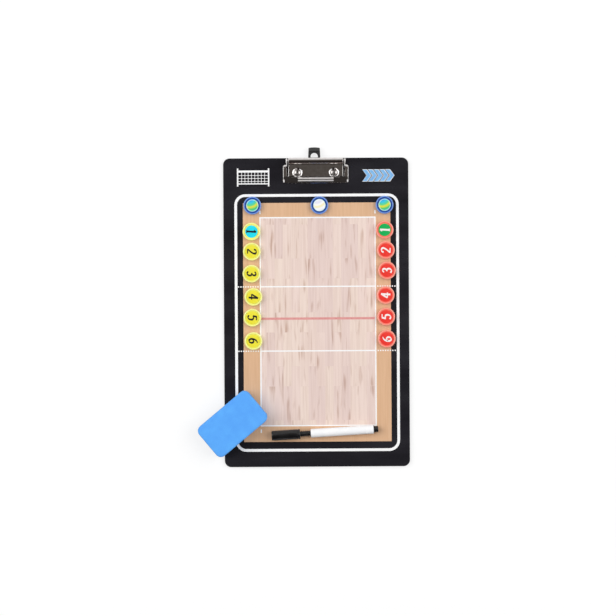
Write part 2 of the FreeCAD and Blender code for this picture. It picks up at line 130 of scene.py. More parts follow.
# Magnet caps, from their underside
team_size = 6
cap_pocket_radius = 7.95
cap_pocket_top = 2.7
cap_top_radius = 10.15
cap_foot_round = 0.3
cap_rim_round = 0.8
label_recess_radius = 8.3
label_recess_round = 0.25
label_groove_floor = 4.0
label_floor = 4.7
label_dome = 0.1
label_dome_steps = 4
team_label_radius = 7.5
captain_label_radius = 7.2
ball_label_radius = 7.0

# Curved bands on the ball labels: the point that they go round, and how far from it they start and end; the
# labels' pale edge fades in between two shares of the radius
ball_bands_point = (-3.0, 9.0, 0.0)
ball_bands_start = 2.0
ball_bands_end = 17.0
ball_edge_shares = (0.82, 0.92)

# Numerals, drawn with a broad pen in a box of unit height
digit_height = 10.7
digit_squeeze = 0.9
digit_half_width = 0.35
digit_top = 4.9
digit_slant = 0.06
digit_thick = 0.2
digit_thin = 0.085
digit_pen_degrees = 15.0
digit_layer = 0.01
digit_turn_degrees = {"left": -90.0, "right": 90.0}
digit_strokes = {
    "1": ([(0.16, 0.80), (0.28, 0.87), (0.36, 1.0)], [(0.36, 1.0), (0.36, 0.0)], [(0.2, 0.0), (0.52, 0.0)]),
    "2": ([(0.08, 0.74), (0.16, 0.92), (0.36, 0.98), (0.55, 0.88), (0.55, 0.68), (0.4, 0.42), (0.08, 0.06)],
          [(0.06, 0.05), (0.62, 0.05)]),
    "3": ([(0.1, 0.84), (0.3, 0.98), (0.52, 0.87), (0.48, 0.64), (0.26, 0.54)],
          [(0.26, 0.54), (0.52, 0.47), (0.56, 0.22), (0.36, 0.03), (0.08, 0.13)]),
    "4": ([(0.46, 1.0), (0.06, 0.32)], [(0.04, 0.32), (0.68, 0.32)], [(0.46, 1.0), (0.46, 0.0)]),
    "5": ([(0.16, 0.95), (0.62, 0.95)], [(0.2, 0.96), (0.14, 0.56)],
          [(0.14, 0.56), (0.34, 0.62), (0.55, 0.5), (0.55, 0.2), (0.35, 0.03), (0.08, 0.12)]),
    "6": ([(0.54, 0.94), (0.3, 0.84), (0.13, 0.58), (0.11, 0.24), (0.32, 0.03), (0.54, 0.18), (0.53, 0.42),
           (0.34, 0.54), (0.14, 0.4)],),
}

# Softened edges of the laminate's sheets and of moulded plastic
sheet_edge = 0.25
moulded_edge = 0.2

# Edges of the clip's pressed sheet, and where they are rounder on each side: at the dimples and the ears
pressed_edge = 0.12
round_edge = 1.0
round_edge_fade = 1.0
round_edge_boxes = ((14.0, 154.0, 28.0, 168.0), (31.0, 168.0, 40.0, 178.0))

# Where the clip gets painted highlights, as pale matt patches, on each side: two lines along the finger
# lift, the jaw's front corners, the tops of its arms and its ears
painted_highlight_fade = 0.3
painted_highlight_boxes = ((-20.5, 150.6, 20.5, 152.0), (-20.5, 153.4, 20.5, 154.3), (35.9, 149.6, 39.2, 152.5),
                (34.8, 167.4, 38.6, 169.4), (32.8, 168.0, 35.2, 174.4))

# Where painted light makes the hang hook's thumb ridge paler
painted_light_ridge_fade = 1.5
painted_light_ridge_box = (-8.0, 185.2, 8.0, 190.0)

# Rivets, from the heads in the board's back
rivet_head_radius = 4.2
rivet_head_thickness = 0.55
rivet_head_round = 0.15
rivet_shank_radius = 1.8
rivet_hole_radius = 1.2
rivet_hole_floor = 1.45
rivet_roll_radius = 2.4
rivet_roll_thickness = 0.7
rivet_roll_round = 0.33
rivet_under_round = 0.3

# Springs on the hinge pin
spring_wire_radius = 0.6
spring_coil_radius = 2.25
spring_clearance = 0.15
spring_pitch = 1.4
spring_turns = 4.75
spring_steps_per_turn = 24
spring_leg = 2.4
spring_tang_reach = 1.2
spring_tang_bend = 0.5

# Marker pen's cap, with a dished end and a groove whose edges are measured from the mouth
pen_cap_wall = 1.4
pen_cap_end = 2.0
pen_cap_taper = 0.15
pen_dish_rim = 2.0
pen_dish_depth = 0.3
pen_dish_slope = 0.2
pen_groove_edges = (3.0, 2.1)
pen_groove_slope = 0.2
pen_groove_depth = 0.35
pen_groove_lip = 0.05

# Marker pen's section, barrel and end plug; a rib rises, is full and ends at these shares of the ribs' pitch
pen_nib_bore = 2.05
pen_nose_radius = 3.0
pen_seat_radius = 4.2
pen_seat_length = 7.0
pen_insert_radius = 4.25
pen_insert_length = 9.0
pen_rib_count = 5
pen_rib_radius = 3.35
pen_rib_depth = 0.5
pen_rib_shares = (0.35, 0.5, 0.95)
pen_barrel_wall = 0.7
pen_plug_collar = 0.8
pen_plug_radius = 3.65

# Rounds of the marker pen's edges
pen_round_steps = 4
pen_fine_round = 0.2
pen_rib_round = 0.25
pen_edge_round = 0.3
pen_nose_round = 0.4
pen_end_round = 0.5
pen_mouth_round = 0.8
pen_cap_end_round = 0.9

# Eraser's foam, with the foot as pairs of inset and height and the crown as pairs of inset and drop
eraser_length = 74.0
eraser_width = 44.0
eraser_yaw_degrees = 39.7
foam_corner = 7.0
foam_foot = ((0.5, 0.0), (0.12, 0.4), (0.0, 1.0))
foam_waist_inset = 0.05
foam_waist_shares = (0.35, 0.65)
foam_shoulder_round = 1.6
foam_shoulder_drop = 0.2
foam_shoulder_steps = 6
foam_crown = ((5.0, 0.1), (10.0, 0.04), (16.0, 0.0))
foam_unevenness = 0.04

# Eraser's felt pad, with the foot as pairs of inset and height
felt_margin = 1.5
felt_corner = 5.5
felt_foot = ((0.6, 0.0), (0.2, 0.3), (0.0, 0.9))
felt_waist_inset = 0.05
felt_waist_share = 0.6
felt_top_inset = 0.1
felt_unevenness = 0.08

# Skin of the eraser's soft parts
soft_least_corner = 0.6
soft_corner_steps = 10
soft_ripple_per_mm = 0.35
soft_sharp_degrees = 60.0


def srgb(red, green, blue):
    """Linear colour from display values of 0 to 255."""
    shares = (red / 255, green / 255, blue / 255)
    linear = [s / 12.92 if s <= 0.04045 else ((s + 0.055) / 1.055) ** 2.4 for s in shares]
    return (*linear, 1.0)


black = srgb(0, 0, 0)
white = srgb(255, 255, 255)


# Materials

class Nodes:
    """A node tree in the making; a value is a number, a colour or another node's output."""

    def __init__(self, tree):
        self.nodes = tree.nodes
        self.links = tree.links

    def feed(self, socket, value):
        if isinstance(value, bpy.types.NodeSocket):
            self.links.new(value, socket)
        else:
            socket.default_value = value

    def node(self, kind, inputs, **settings):
        node = self.nodes.new("ShaderNode" + kind)
        for setting, value in settings.items():
            setattr(node, setting, value)
        for socket, value in inputs.items():
            self.feed(node.inputs[socket], value)
        return node

    def math(self, operation, *values):
        return self.node("Math", dict(enumerate(values)), operation=operation).outputs["Value"]

    def span(self, value, low, high, start=0.3, end=0.7):
        """From low to high as the value goes from start to end."""
        inputs = {"Value": value, "From Min": start, "From Max": end, "To Min": low, "To Max": high}
        return self.node("MapRange", inputs).outputs["Result"]

    def ramp(self, value, stops, interpolation="LINEAR"):
        """Colour between (position, colour) stops."""
        node = self.node("ValToRGB", {"Fac": value})
        node.color_ramp.interpolation = interpolation
        elements = node.color_ramp.elements
        for position, colour in stops[1:-1]:
            elements.new(position).color = colour
        for element, (position, colour) in ((elements[0], stops[0]), (elements[-1], stops[-1])):
            element.position = position
            element.color = colour
        return node.outputs["Color"]

    def blend(self, share, first, second, mode="MIX"):
        inputs = {0: share, 6: first, 7: second}
        return self.node("Mix", inputs, data_type="RGBA", blend_type=mode).outputs[2]

    def seen_rays(self):
        """1 for rays that show a surface, straight, mirrored or through glass; 0 for rays that light it."""
        path = self.node("LightPath", {}).outputs
        opaque = self.math("MAXIMUM", path["Is Camera Ray"], path["Is Glossy Ray"])
        return self.math("MAXIMUM", opaque, path["Is Transmission Ray"])


class Finish(Nodes):
    """One material in the making: a Principled shader and the nodes that feed it."""

    def __init__(self, name, **settings):
        self.material = bpy.data.materials.new(name)
        self.material.use_nodes = True
        super().__init__(self.material.node_tree)
        self.shader = self.nodes["Principled BSDF"]
        for setting, value in settings.items():
            self.set(setting.replace("_", " ").title(), value)

    def set(self, socket, value):
        self.feed(self.shader.inputs[socket], value)

    def place(self, per_mm=1.0):
        """Coordinates of the piece in millimetres, times one frequency or one for each axis."""
        frequencies = per_mm if isinstance(per_mm, tuple) else (per_mm, per_mm, per_mm)
        coordinates = self.node("TexCoord", {}).outputs["Object"]
        scale = [frequency / mm for frequency in frequencies]
        return self.node("Mapping", {"Vector": coordinates, "Scale": scale}).outputs["Vector"]

    def position(self):
        return self.node("SeparateXYZ", {"Vector": self.place()}).outputs

    def distance(self, point=(0.0, 0.0, 0.0)):
        """Level distance in millimetres from a point of the piece."""
        inputs = {0: self.place((1.0, 1.0, 0.0)), 1: point}
        return self.node("VectorMath", inputs, operation="DISTANCE").outputs["Value"]

    def noise(self, per_mm, detail=4.0):
        inputs = {"Vector": self.place(per_mm), "Scale": 1.0, "Detail": detail}
        return self.node("TexNoise", inputs).outputs["Fac"]

    def cells(self, per_mm):
        inputs = {"Vector": self.place(per_mm), "Scale": 1.0}
        return self.node("TexVoronoi", inputs).outputs["Distance"]

    def within_any(self, boxes, fade):
        """1 inside boxes in millimetres and their mirror images, with edges that fade over a width."""
        position = self.position()
        sideways = self.math("ABSOLUTE", position["X"])
        largest = 0.0
        for left, bottom, right, top in boxes:
            share = 1.0
            for along, low, high in ((sideways, left, right), (position["Y"], bottom, top)):
                distance = self.math("ABSOLUTE", self.math("SUBTRACT", along, (low + high) / 2))
                half = (high - low) / 2
                inside = self.span(distance, 1.0, 0.0, half - fade / 2, half + fade / 2)
                share = self.math("MULTIPLY", share, inside)
            largest = self.math("MAXIMUM", largest, share)
        return largest

    def soft_edges(self, radius):
        """Normals rounded at the edges by a radius in metres."""
        return self.node("Bevel", {"Radius": radius}, samples=6).outputs["Normal"]

    def tint(self, value, stops):
        self.set("Base Color", self.ramp(value, stops))

    def relief(self, height, depth, normal=None):
        """Relief of a height map whose whole range is so many millimetres deep."""
        inputs = {"Height": height, "Distance": depth * mm}
        if normal:
            inputs["Normal"] = normal
        self.set("Normal", self.node("Bump", inputs).outputs["Normal"])


def black_film():
    """Glossy film with faint wipe marks and the slight unevenness of a laminated sheet."""
    finish = Finish("black_film")
    smear = finish.noise((0.012, 0.05, 0.05), detail=5.0)
    finish.tint(smear, [(0.3, srgb(22, 21, 27)), (0.7, srgb(30, 29, 36))])
    finish.set("Roughness", finish.span(smear, 0.2, 0.3))
    finish.relief(finish.noise(0.5), 0.004, finish.soft_edges(sheet_edge * mm))
    return finish.material


def pebbled_back():
    """Matt black laminate with a pebbled grain."""
    finish = Finish("pebbled_back", roughness=0.55)
    pebbles = finish.cells(1.6)
    finish.tint(pebbles, [(0.1, srgb(36, 36, 40)), (0.8, srgb(24, 24, 27))])
    finish.relief(pebbles, 0.05, finish.soft_edges(sheet_edge * mm))
    return finish.material


def core_edge():
    """Cut edge of the board's core, with fine saw marks along it."""
    finish = Finish("core_edge", roughness=0.6)
    marks = finish.noise((0.6, 0.6, 6.0))
    finish.tint(marks, [(0.3, srgb(26, 25, 26)), (0.7, srgb(44, 42, 42))])
    finish.relief(marks, 0.02)
    return finish.material


def ink(name, colour, shade, grain_per_mm=0.4):
    """Printed ink under the film, a little uneven."""
    finish = Finish(name)
    grain = finish.noise(grain_per_mm)
    finish.tint(grain, [(0.35, shade), (0.65, colour)])
    finish.set("Roughness", finish.span(grain, 0.3, 0.38))
    return finish.material


def floor_boards(finish, position):
    """A grey level for each printed floor board; the boards lie along Y with staggered ends."""
    along = finish.node("CombineXYZ", {"X": position["Y"], "Y": position["X"]}).outputs["Vector"]
    return finish.node("TexBrick", {
        "Vector": along, "Scale": 1.0, "Color1": black, "Color2": white, "Mortar": (0.2, 0.2, 0.2, 1.0),
        "Mortar Size": plank_seam, "Mortar Smooth": 1.0, "Brick Width": plank_length,
        "Row Height": plank_width,
    }, offset=plank_stagger, offset_frequency=2).outputs["Color"]


def board_noise(finish, position, boards, across, along, detail):
    """Noise drawn out along Y that starts anew on each floor board."""
    shuffle = 40.0
    place = finish.node("CombineXYZ", {
        "X": finish.math("MULTIPLY", position["X"], across),
        "Y": finish.math("MULTIPLY", position["Y"], along),
        "Z": finish.math("MULTIPLY", boards, shuffle),
    }).outputs["Vector"]
    return finish.node("TexNoise", {"Vector": place, "Scale": 1.0, "Detail": detail}).outputs["Fac"]


def court_print():
    """Printed maple floor: boards, each with its own tone, fine grain and a few dark flecks."""
    finish = Finish("court_print")
    position = finish.position()
    boards = floor_boards(finish, position)
    tones = [(0.0, srgb(232, 209, 202)), (0.5, srgb(239, 217, 208)), (1.0, srgb(241, 221, 209))]
    grain = finish.ramp(board_noise(finish, position, boards, 0.5, 0.015, 5.0),
                        [(0.3, srgb(243, 239, 237)), (0.6, white)])
    fleck = finish.ramp(board_noise(finish, position, boards, 0.24, 0.03, 1.0),
                        [(0.58, white), (0.8, srgb(216, 200, 190))])
    grained = finish.blend(1.0, finish.ramp(boards, tones), grain, "MULTIPLY")
    finish.set("Base Color", finish.blend(1.0, grained, fleck, "MULTIPLY"))
    finish.set("Roughness", finish.span(grain, 0.34, 0.3))
    return finish.material


def chrome():
    """Bright plated sheet steel, faintly rippled by pressing, with painted highlights as pale matt patches.
    """
    finish = Finish("chrome")
    haze = finish.noise(0.35, detail=6.0)
    finish.tint(haze, [(0.3, srgb(226, 222, 220)), (0.7, srgb(238, 236, 235))])
    # Painted highlights: nearly non-metallic, rougher patches that render pale where the clip's glints would
    # be
    painted_light = finish.within_any(painted_highlight_boxes, painted_highlight_fade)
    finish.set("Metallic", finish.span(painted_light, 1.0, 0.05, 0.0, 1.0))
    finish.set("Roughness", finish.blend(painted_light, finish.span(haze, 0.05, 0.1), finish.span(haze, 0.5, 0.6)))
    ripple = finish.noise((0.08, 0.12, 0.1), detail=1.0)
    rounder = finish.within_any(round_edge_boxes, round_edge_fade)
    edge = finish.span(rounder, pressed_edge * mm, round_edge * mm, 0.0, 1.0)
    finish.relief(ripple, 0.03, finish.soft_edges(edge))
    return finish.material


def steel(name, light, dark, roughness):
    """Drawn or rolled steel, with fine marks along X."""
    finish = Finish(name, metallic=1.0, roughness=roughness)
    marks = finish.noise((0.2, 6.0, 6.0))
    finish.tint(marks, [(0.3, dark), (0.7, light)])
    finish.relief(marks, 0.006)
    return finish.material


def mould_skin(finish, grain=2.0, relief=0.006):
    """Relief of a moulded piece: a fine grain and soft edges."""
    skin = finish.noise(grain, detail=2.0)
    finish.relief(skin, relief, finish.soft_edges(moulded_edge * mm))


def moulded(name, colour, shade, low_roughness, high_roughness, **skin):
    """Moulded plastic with a slightly cloudy colour."""
    finish = Finish(name)
    cloud = finish.noise(0.12)
    finish.tint(cloud, [(0.3, shade), (0.7, colour)])
    finish.set("Roughness", finish.span(cloud, low_roughness, high_roughness))
    mould_skin(finish, **skin)
    return finish.material


def gloss(name, colour, shade):
    return moulded(name, colour, shade, 0.18, 0.26)


def hook_plastic():
    """Black moulded plastic, with painted light that makes the thumb ridge paler grey."""
    finish = Finish("hook_plastic")
    cloud = finish.noise(0.12)
    plain = finish.ramp(cloud, [(0.3, srgb(24, 24, 24)), (0.7, srgb(32, 32, 32))])
    # Painted light: the thumb ridge gets a paler grey than the rest of the hook
    painted_light = finish.within_any([painted_light_ridge_box], painted_light_ridge_fade)
    finish.set("Base Color", finish.blend(painted_light, plain, srgb(50, 50, 50)))
    finish.set("Roughness", finish.span(cloud, 0.4, 0.5))
    mould_skin(finish)
    return finish.material


def rubbed_rim(name, inner, outer):
    """Glossy cap plastic: painted shade by the groove, a painted highlight towards its outer edge."""
    finish = Finish(name)
    outward = finish.span(finish.distance(), 0.0, 1.0, label_recess_radius, cap_top_radius)
    # Painted shade in the inner colour by the groove, painted highlight in the outer colour at the rim's
    # edge
    finish.tint(outward, [(0.1, inner), (0.7, outer)])
    finish.set("Roughness", finish.span(finish.noise(0.3), 0.18, 0.26))
    finish.relief(finish.noise(2.0, detail=2.0), 0.006)
    return finish.material


def ball_print(name, stops):
    """Label print: curved bands like a ball's panels, about a point beside the label, with a pale edge."""
    finish = Finish(name, roughness=0.22)
    bands = finish.span(finish.distance(ball_bands_point), 0.0, 1.0, ball_bands_start, ball_bands_end)
    edge_start, edge_end = [share * ball_label_radius for share in ball_edge_shares]
    edge = finish.span(finish.distance(), 0.0, 0.7, edge_start, edge_end)
    finish.set("Base Color", finish.blend(edge, finish.ramp(bands, stops, "EASE"), srgb(214, 248, 244)))
    return finish.material


def fibres(name, colour, shade, relief):
    """Felt: short tangled fibres with a soft sheen."""
    finish = Finish(name, roughness=0.95, sheen_weight=0.3)
    tangle = finish.noise(1.8, detail=8.0)
    finish.tint(tangle, [(0.35, shade), (0.65, colour)])
    finish.relief(tangle, relief)
    return finish.material


def foam():
    """Closed-cell foam: matt, with tiny round pores and a slightly mottled colour."""
    finish = Finish("blue_foam", roughness=0.85, sheen_weight=0.15)
    mottle = finish.noise(0.09, detail=6.0)
    colour = finish.ramp(mottle, [(0.3, srgb(84, 164, 250)), (0.7, srgb(92, 176, 255))])
    pores = finish.cells(1.3)
    # Painted shade: the pores' pits are darkened in the colour
    shading = finish.ramp(pores, [(0.05, srgb(214, 224, 236)), (0.28, white)])
    finish.set("Base Color", finish.blend(1.0, colour, shading, "MULTIPLY"))
    finish.relief(pores, 0.1)
    return finish.material


def table_top():
    """White table: lit and shadowed by the lamps, with a base brightness where it is seen."""
    finish = Finish("white_table", roughness=0.9)
    finish.set("Base Color", (table_grey, table_grey, table_grey, 1.0))
    finish.set("Emission Color", white)
    finish.set("Emission Strength", finish.math("MULTIPLY", finish.seen_rays(), table_glow))
    return finish.material


# Mesh helpers

def rounded(corners, steps=6):
    """Outline points from (x, y, radius) corners, each turned into an arc of a few steps."""
    points = []
    for index, (x, y, radius) in enumerate(corners):
        corner = Vector((x, y))
        if not radius:
            points.append(corner)
            continue
        before = (Vector(corners[index - 1][:2]) - corner).normalized()
        after = (Vector(corners[(index + 1) % len(corners)][:2]) - corner).normalized()
        half = before.angle(after) / 2
        centre = corner + (before + after).normalized() * radius / math.sin(half)
        start = corner + before * radius / math.tan(half) - centre
        end = corner + after * radius / math.tan(half) - centre
        for step in range(steps + 1):
            points.append(centre + start.slerp(end, step / steps).normalized() * radius)
    return points


def rectangle(left, bottom, right, top, radius=0.0, steps=6):
    corners = [(left, bottom, radius), (right, bottom, radius), (right, top, radius), (left, top, radius)]
    return rounded(corners, steps)


def smooth_line(points, steps=8):
    """Points along a curve that passes through the given ones."""
    stops = [Vector(point) for point in points]
    if len(stops) == 2:
        return stops
    before = 2 * stops[0] - stops[1]
    after = 2 * stops[-1] - stops[-2]
    stops = [before] + stops + [after]
    line = []
    for a, b, c, d in zip(stops, stops[1:], stops[2:], stops[3:]):
        for step in range(steps):
            t = step / steps
            line.append(0.5 * (2 * b + (c - a) * t + (2 * a - 5 * b + 4 * c - d) * t ** 2
                               + (3 * b - a - 3 * c + d) * t ** 3))
    return line + [stops[-2]]


def direction_at(line, index):
    """Direction of a line of points at one of them, from the point before to the one after."""
    return (line[min(index + 1, len(line) - 1)] - line[max(index - 1, 0)]).normalized()


def add_ring(mesh, points, height):
    return [mesh.verts.new((point[0], point[1], height)) for point in points]


def add_band(mesh, first, second):
    """Faces between two rings of as many points, or between a ring and a single point."""
    count = max(len(first), len(second))
    faces = []
    for index in range(count):
        following = (index + 1) % count
        corners = [first[index % len(first)], first[following % len(first)],
                   second[following % len(second)], second[index % len(second)]]
        faces.append(mesh.faces.new(dict.fromkeys(corners)))
    return faces


def add_closed_bands(mesh, rings):
    """Faces along a row of rings, with both ends closed."""
    for first, second in zip(rings, rings[1:]):
        add_band(mesh, first, second)
    mesh.faces.new(rings[0][::-1])
    mesh.faces.new(rings[-1])


def add_plate(mesh, outer, inner, bottom, top):
    """A flat closed plate within an outline, with the inner outline cut out if there is one."""
    low = add_ring(mesh, outer, bottom)
    high = add_ring(mesh, outer, top)
    if not inner:
        add_closed_bands(mesh, [low, high])
        return
    inner_low = add_ring(mesh, inner, bottom)
    inner_high = add_ring(mesh, inner, top)
    for first, second in ((low, high), (inner_high, inner_low), (high, inner_high), (inner_low, low)):
        add_band(mesh, first, second)


def add_wire(mesh, points, radius, sides=12):
    """A round wire along a line of points, closed at both ends."""
    turns = [2 * math.pi * step / sides for step in range(sides)]
    rings = []
    aside = (points[1] - points[0]).orthogonal()
    for index, point in enumerate(points):
        toward = direction_at(points, index)
        aside = (aside - toward * aside.dot(toward)).normalized()
        across = toward.cross(aside)
        circle = [point + radius * (aside * math.cos(turn) + across * math.sin(turn)) for turn in turns]
        rings.append([mesh.verts.new(corner) for corner in circle])
    add_closed_bands(mesh, rings)


def finish_piece(name, mesh, materials, body, place=None, sharp_degrees=35.0):
    """Turns a bmesh in millimetres into a piece that rides on a body, if one is given."""
    bmesh.ops.recalc_face_normals(mesh, faces=mesh.faces)
    bmesh.ops.scale(mesh, vec=(mm, mm, mm), verts=mesh.verts)
    data = bpy.data.meshes.new(name)
    mesh.to_mesh(data)
    mesh.free()
    data.shade_smooth()
    data.set_sharp_from_angle(angle=math.radians(sharp_degrees))
    for material in materials:
        data.materials.append(material)
    piece = bpy.data.objects.new(name, data)
    bpy.context.scene.collection.objects.link(piece)
    if place:
        piece.matrix_world = place
    bpy.context.view_layer.update()
    if body:
        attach(piece, body)
    return piece


def lathe(name, profile, materials, body, place, segments=72, second_start=None):
    """Turned piece from (radius, height) points; bands from second_start on have the second material."""
    mesh = bmesh.new()
    turns = [2 * math.pi * index / segments for index in range(segments)]
    rings = []
    for radius, height in profile:
        circle = [(radius * math.cos(turn), radius * math.sin(turn)) for turn in turns]
        rings.append(add_ring(mesh, circle if radius else [(0.0, 0.0)], height))
    for index, (first, second) in enumerate(zip(rings, rings[1:])):
        for face in add_band(mesh, first, second):
            face.material_index = int(second_start is not None and index >= second_start)
    return finish_piece(name, mesh, materials, body, place)


def node_middle(node):
    """Middle of a node's box, at its lowest level."""
    low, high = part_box(node)
    return Vector(((low.x + high.x) / 2, (low.y + high.y) / 2, low.z))


def node_height(node):
    low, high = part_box(node)
    return (high.z - low.z) / mm


# Finishes of the nodes that stay as they are

def dress(names, material):
    for name in names:
        slots = frame["nodes"][name].data.materials
        slots.clear()
        slots.append(material)


def dress_nodes(plating):
    ferrites = [name for name in frame["nodes"] if name.endswith("_ferrite")]
    sintered = moulded("ferrite", srgb(66, 64, 64), srgb(50, 48, 48), 0.6, 0.8, grain=1.5, relief=0.03)
    dress(["front_sheet"], black_film())
    dress(["back_sheet"], pebbled_back())
    dress(["core_board"], core_edge())
    dress(["steel_sheet"], steel("sheet_steel", srgb(170, 172, 175), srgb(140, 142, 146), 0.4))
    dress(["clip_base", "clip_jaw", "clip_hinge_pin"], plating)
    dress(["hang_hook"], hook_plastic())
    dress(ferrites, sintered)
    dress(["marker_nib"], fibres("nib_fibre", srgb(34, 33, 36), srgb(20, 20, 22), 0.05))
    dress(["marker_reservoir"], fibres("reservoir_fibre", srgb(60, 60, 66), srgb(38, 38, 44), 0.1))


# Print

def print_layer(name, shapes, level, material):
    """Ink on the front sheet; a higher level covers a lower one."""
    board_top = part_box("front_sheet")[1].z / mm
    mesh = bmesh.new()
    for outer, inner in shapes:
        add_plate(mesh, outer, inner, board_top, board_top + level * ink_step)
    finish_piece(name, mesh, [material], "board")


def framed(box, width, radius=0.0):
    """Outer and inner outline of a frame of even width."""
    left, bottom, right, top = box
    inner = rectangle(left + width, bottom + width, right - width, top - width, max(radius - width, 0.0))
    return rectangle(*box, radius), inner


def dashes(start, end, y, height):
    """Short dashes from start outwards to end, in either direction along X."""
    toward = 1 if end > start else -1
    gap = dash_pitch - dash_length
    count = int((abs(end - start) + gap) / dash_pitch)
    starts = [start + toward * (index * dash_pitch + gap) for index in range(count)]
    spans = [sorted((x, x + toward * dash_length)) for x in starts]
    return [(rectangle(left, y - height / 2, right, y + height / 2), None) for left, right in spans]


def court_lines():
    """The court's frame, its attack lines with dashes outside it, and a tick past each corner."""
    left, bottom, right, top = court_box
    half = court_line / 2
    shapes = [framed(court_box, court_line)]
    for y in attack_lines:
        shapes.append((rectangle(left + court_line, y - half, right - court_line, y + half), None))
        shapes += dashes(left, attack_reach[0], y, court_line)
        shapes += dashes(right, attack_reach[1], y, court_line)
    for x in (left, right - court_line):
        for low in (top + tick_gap, bottom - tick_gap - tick_length):
            shapes.append((rectangle(x, low, x + court_line, low + tick_length), None))
    return shapes


def net_motif():
    """A taped net between two posts, as three layers: upright lines, level lines, and posts with tapes."""
    left, bottom, right, top = motif_net_box
    half = motif_net_line / 2
    posts = [rectangle(x, bottom - motif_net_tape, x + motif_net_post, top + motif_net_tape)
             for x in (left - motif_net_post, right)]
    tapes = [rectangle(left, top - motif_net_tape, right, top),
             rectangle(left, bottom, right, bottom + motif_net_tape / 2)]
    uprights = []
    for column in range(1, motif_net_columns):
        x = left + (right - left) * column / motif_net_columns
        uprights.append(rectangle(x - half, bottom, x + half, top))
    levels = []
    for row in range(1, motif_net_rows):
        y = bottom + (top - motif_net_tape - bottom) * row / motif_net_rows
        levels.append(rectangle(left, y - half, right, y + half))
    return [[(shape, None) for shape in layer] for layer in (uprights, levels, posts + tapes)]


def chevrons(grow=0.0):
    """A row of chevrons that point to the right, each grown by an even edge."""
    low, high = chevron_levels
    middle = (low + high) / 2
    shapes = []
    for index in range(chevron_count):
        left = chevron_start + chevron_pitch * index - grow
        right = left + chevron_width + 2 * grow
        corners = ((left, low - grow), (right, low - grow), (right + chevron_point, middle),
                   (right, high + grow), (left, high + grow), (left + chevron_point, middle))
        shapes.append(([Vector(corner) for corner in corners], None))
    return shapes


def make_print():
    line_ink = ink("white_ink", srgb(254, 254, 254), srgb(249, 249, 249))
    panel_ink = ink("tan_ink", srgb(226, 184, 147), srgb(219, 176, 138), (0.5, 0.02, 1.0))
    net_ink = ink("red_ink", srgb(228, 158, 154), srgb(220, 146, 144))
    chevron_ink = ink("light_blue_ink", srgb(132, 188, 236), srgb(116, 174, 228))
    left, _, right, _ = court_box
    net = rectangle(left + court_line, net_y - net_width / 2, right - court_line, net_y + net_width / 2)
    print_layer("print_outline", [framed(outline_box, outline_width, outline_radius)], 1, line_ink)
    print_layer("print_panel", [(rectangle(*panel_box), None)], 1, panel_ink)
    print_layer("print_court", [(rectangle(*court_box), None)], 2, court_print())
    print_layer("print_net", [(net, None)], 3, net_ink)
    print_layer("print_lines", court_lines(), 3, line_ink)
    for level, shapes in enumerate(net_motif(), 1):
        print_layer(f"print_motif_{level}", shapes, level, line_ink)
    print_layer("print_chevron_edges", chevrons(chevron_edge), 1, line_ink)
    print_layer("print_chevrons", chevrons(), 2, chevron_ink)


# Magnets

def cap_profile(node, label_radius):
    """Cap outline from the pocket's middle, round wall and rim, to the label, and the label's first band."""
    low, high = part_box(node)
    radius = (high.x - low.x) / 2 / mm
    height = node_height(node)
    walls = rounded([
        (0.0, cap_pocket_top, 0.0), (cap_pocket_radius, cap_pocket_top, 0.0), (cap_pocket_radius, 0.0, 0.0),
        (radius, 0.0, cap_foot_round), (cap_top_radius, height, cap_rim_round),
        (label_recess_radius, height, label_recess_round), (label_recess_radius, label_groove_floor, 0.0),
        (label_radius, label_groove_floor, 0.0), (label_radius, label_floor, 0.0),
    ])
    shares = [1 - step / label_dome_steps for step in range(1, label_dome_steps + 1)]
    dome = [(label_radius * share, label_floor + label_dome * (1 - share ** 2)) for share in shares]
    return walls + dome, len(walls) - 1


def pen_stroke(points):
    """Outline of one stroke, thick across the pen's edge and thin along it."""
    line = smooth_line(points)
    left, right = [], []
    for index, point in enumerate(line):
        toward = direction_at(line, index)
        across = abs(math.sin(math.atan2(toward.y, toward.x) - math.radians(digit_pen_degrees)))
        half = (digit_thin + (digit_thick - digit_thin) * across) / 2
        aside = Vector((-toward.y, toward.x)) * half
        left.append(point + aside)
        right.append(point - aside)
    return left + right[::-1]


def make_digit(name, number, turn_degrees, material, place):
    """A bold, slightly slanting numeral printed on the label."""
    middle = Vector((digit_half_width * digit_squeeze + digit_slant / 2, 0.5))
    mesh = bmesh.new()
    for layer, points in enumerate(digit_strokes[number]):
        narrow = [(digit_squeeze * x, y) for x, y in points]
        slanted = [Vector((x + digit_slant * y, y)) for x, y in pen_stroke(narrow)]
        outline = [(point - middle) * digit_height for point in slanted]
        add_plate(mesh, outline, None, label_floor, digit_top - layer * digit_layer)
    bmesh.ops.rotate(mesh, matrix=Matrix.Rotation(math.radians(turn_degrees), 3, "Z"), verts=mesh.verts)
    finish_piece(name + "_number", mesh, [material], name, place)


def make_cap(name, rim, label, label_radius):
    node = name + "_cap"
    place = Matrix.Translation(node_middle(node))
    profile, label_start = cap_profile(node, label_radius)
    cap = lathe(name + "_moulded_cap", profile, [rim, label], name, place, second_start=label_start)
    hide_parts(node)
    return place


def make_team(side, rim, label, captain_label, number_ink):
    for number in range(1, team_size + 1):
        name = f"{side}_magnet_{number}"
        if number == 1:
            place = make_cap(name, rim, captain_label, captain_label_radius)
        else:
            place = make_cap(name, rim, label, team_label_radius)
        make_digit(name, str(number), digit_turn_degrees[side], number_ink, place)


